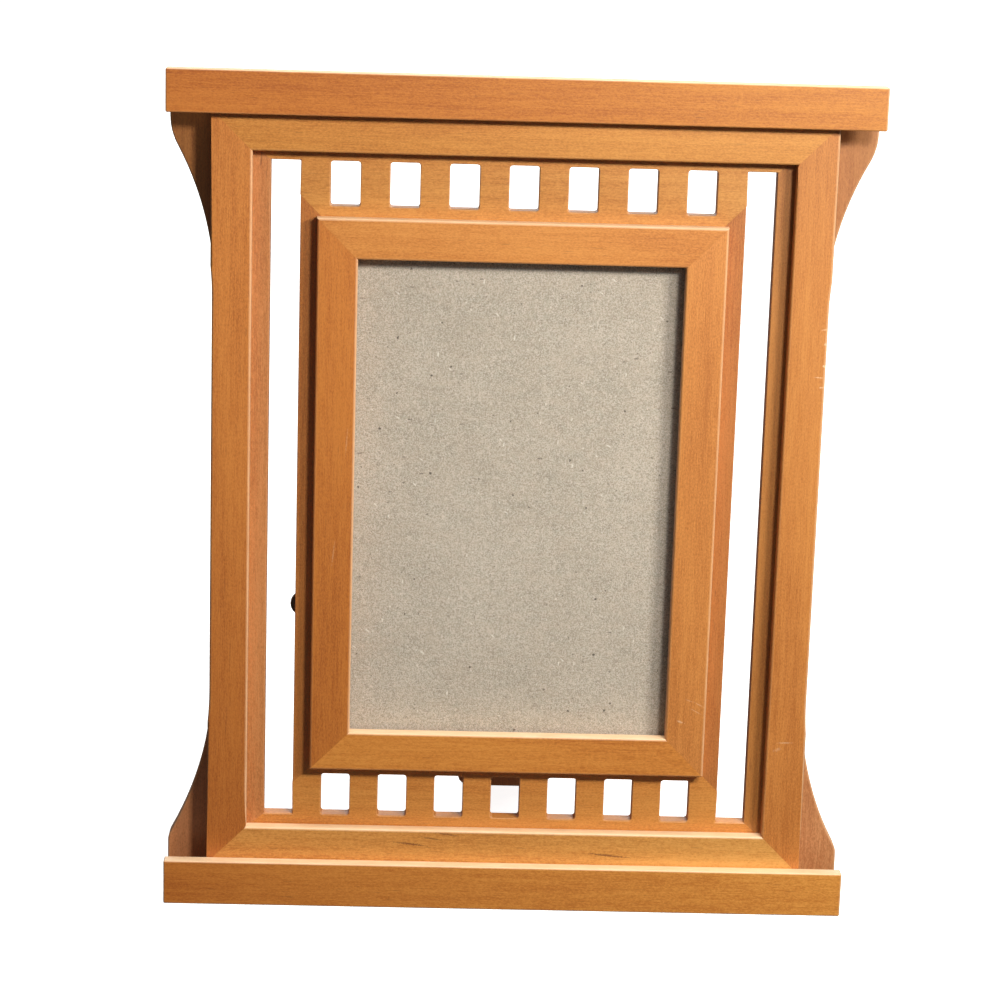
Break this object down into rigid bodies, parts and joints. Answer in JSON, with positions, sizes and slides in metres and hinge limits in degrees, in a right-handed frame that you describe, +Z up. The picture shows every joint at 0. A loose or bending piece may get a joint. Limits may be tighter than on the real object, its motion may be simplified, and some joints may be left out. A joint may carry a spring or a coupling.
{
  "type": "tabletop photo frame",
  "caption": "Wooden tabletop photo frame in a fretwork pattern: mitred raised frames over a pierced fret, flared side wings, glass, lift-out back held by turn buttons, and a folding easel leg.",
  "frame": {"origin": "centre of the base block's underside, on the surface that the frame stands on", "axes": "+X to the viewer's right along the bars, +Y towards the back, +Z up; the frame leans back 10 degrees"},
  "size_m": [0.2076, 0.0795, 0.2505],
  "materials": {
    "honey_wood_across": "honey stain, satin lacquer, grain across",
    "honey_wood_upright": "honey stain, satin lacquer, grain upright",
    "clear_glass": "clear, polished",
    "grey_chipboard": "grey recycled paper board, flecked, matt",
    "brown_hardboard": "smooth brown hardboard",
    "dark_steel": "blackened steel",
    "bright_steel": "plated steel, slightly worn"
  },
  "bodies": {
    "frame": {"top_bar": "honey_wood_across", "base_bar": "honey_wood_across", "top_block": "honey_wood_across", "base_block": "honey_wood_across", "outer_rail_top": "honey_wood_across", "outer_rail_bottom": "honey_wood_across", "fret_top": "honey_wood_across", "fret_bottom": "honey_wood_across", "inner_rail_top": "honey_wood_across", "inner_rail_bottom": "honey_wood_across", "outer_stile_left": "honey_wood_upright", "outer_stile_right": "honey_wood_upright", "fret_strip_left": "honey_wood_upright", "fret_strip_right": "honey_wood_upright", "edge_strip_left": "honey_wood_upright", "edge_strip_right": "honey_wood_upright", "inner_stile_left": "honey_wood_upright", "inner_stile_right": "honey_wood_upright", "side_wing_left": "honey_wood_upright", "side_wing_right": "honey_wood_upright", "glass_pane": "clear_glass", "backing_card": "grey_chipboard", "back_board": "brown_hardboard", "wing_screw_upper_left": "dark_steel", "wing_screw_upper_right": "dark_steel", "wing_screw_lower_left": "dark_steel", "wing_screw_lower_right": "dark_steel", "hinge_fixed_leaf": "bright_steel", "hinge_pin": "bright_steel", "hinge_rivet_fixed_left": "bright_steel", "hinge_rivet_fixed_right": "bright_steel", "button_screw_upper_left": "bright_steel", "button_screw_upper_right": "bright_steel", "button_screw_lower_left": "bright_steel", "button_screw_lower_right": "bright_steel"},
    "leg": {"easel_leg": "honey_wood_upright", "hinge_moving_leaf": "bright_steel", "hinge_rivet_moving_left": "bright_steel", "hinge_rivet_moving_right": "bright_steel"},
    "button_upper_left": {"turn_button_upper_left": "dark_steel"},
    "button_lower_left": {"turn_button_lower_left": "dark_steel"},
    "button_upper_right": {"turn_button_upper_right": "dark_steel"},
    "button_lower_right": {"turn_button_lower_right": "dark_steel"}
  },
  "joints": [
    {"name": "easel_fold", "type": "hinge", "parent": "frame", "child": "leg", "pos_m": [0, 0.03817, 0.1756], "axis": [1, 0, 0], "range_deg": [-20, 0]},
    {"name": "button_turn_upper_left", "type": "hinge", "parent": "frame", "child": "button_upper_left", "pos_m": [-0.0583, 0.03362, 0.15711], "axis": [0, 0.9848, -0.1736], "continuous": true},
    {"name": "button_turn_lower_left", "type": "hinge", "parent": "frame", "child": "button_lower_left", "pos_m": [-0.0613, 0.02146, 0.08818], "axis": [0, 0.9848, -0.1736], "continuous": true},
    {"name": "button_turn_upper_right", "type": "hinge", "parent": "frame", "child": "button_upper_right", "pos_m": [0.0583, 0.03362, 0.15711], "axis": [0, 0.9848, -0.1736], "continuous": true},
    {"name": "button_turn_lower_right", "type": "hinge", "parent": "frame", "child": "button_lower_right", "pos_m": [0.0583, 0.02146, 0.08818], "axis": [0, 0.9848, -0.1736], "continuous": true}
  ]
}
